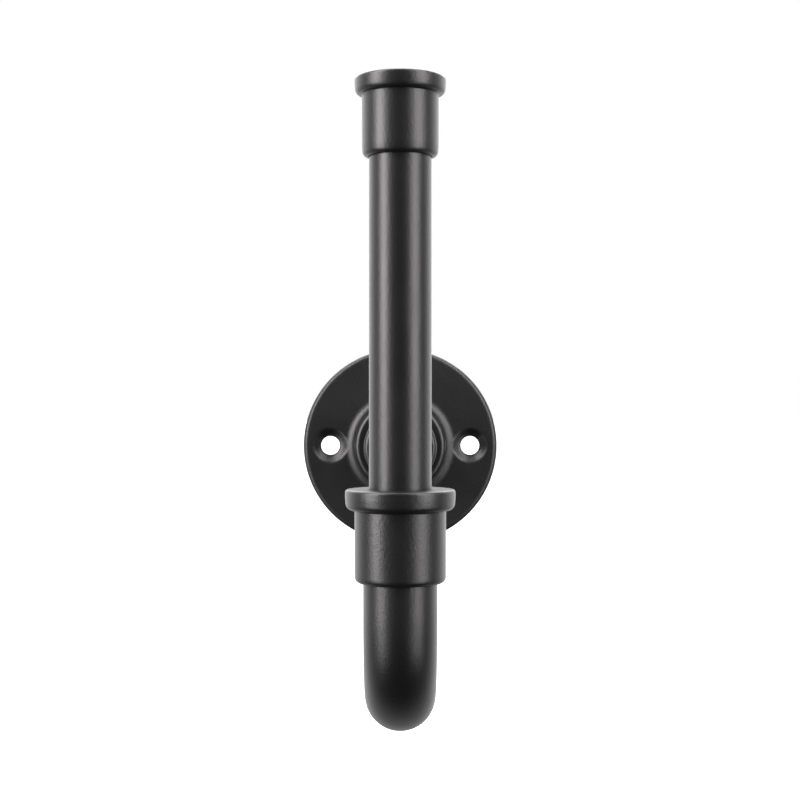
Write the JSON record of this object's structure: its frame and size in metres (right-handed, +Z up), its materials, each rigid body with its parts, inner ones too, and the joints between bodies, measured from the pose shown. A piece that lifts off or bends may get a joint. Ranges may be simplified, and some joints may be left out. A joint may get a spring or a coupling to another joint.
{
  "type": "toilet paper holder",
  "caption": "Wall-mounted toilet paper holder: an upright capped pipe on a bent trap-shaped tube with bead-rimmed collars and a round pressed flange.",
  "frame": {"origin": "centre of the wall flange's back, in the plane of the wall", "axes": "+Z up along the upright pipe, +Y into the wall, +X to the right seen from the room"},
  "size_m": [0.089, 0.1833, 0.2351],
  "materials": {
    "black_coat": "satin black powder coat",
    "zinc_steel": "bright zinc plate"
  },
  "bodies": {
    "root": {"wall_flange": "black_coat", "flange_boss": "black_coat", "wall_collar": "black_coat", "bent_tube": "black_coat", "front_collar": "black_coat", "upright_pipe": "black_coat", "end_cap": "black_coat", "wall_lock_washer": "zinc_steel", "wall_tube_plug": "zinc_steel", "wall_stud": "zinc_steel", "front_lock_washer": "zinc_steel", "front_tube_plug": "zinc_steel", "front_stud": "zinc_steel", "pipe_lower_plug": "zinc_steel", "pipe_upper_plug": "zinc_steel", "cap_stud": "zinc_steel"}
  },
  "joints": []
}
